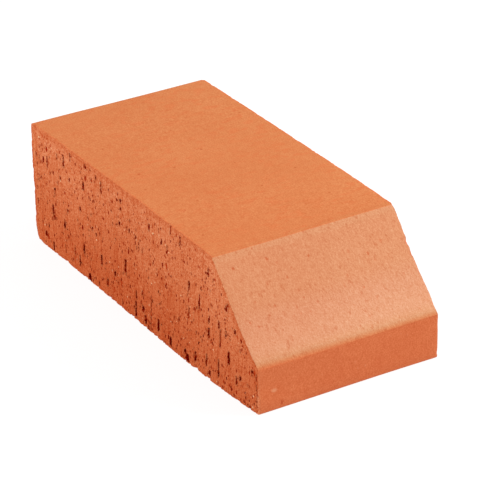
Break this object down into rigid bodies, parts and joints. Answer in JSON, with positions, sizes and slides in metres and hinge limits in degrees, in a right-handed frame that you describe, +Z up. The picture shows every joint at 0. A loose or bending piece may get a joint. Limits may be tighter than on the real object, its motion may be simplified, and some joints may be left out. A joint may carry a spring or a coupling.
{
  "type": "plinth header brick",
  "caption": "Solid fired clay plinth header: a brick with one short end canted back from an upright foot to the top bed, wire-cut on its long sides, for stepping a wall in above its base.",
  "frame": {"origin": "middle of the bottom bed, on the surface that the brick lies on", "axes": "+X along the length towards the canted end, +Y across the width between the two wire-cut sides, +Z up out of the top bed"},
  "size_m": [0.215, 0.1024, 0.065],
  "materials": {
    "fired_clay": "unglazed orange-red fired clay, smooth from the die on the beds and ends, torn and pitted by the wire on the long sides"
  },
  "bodies": {
    "root": {"plinth_brick": "fired_clay"}
  },
  "joints": []
}
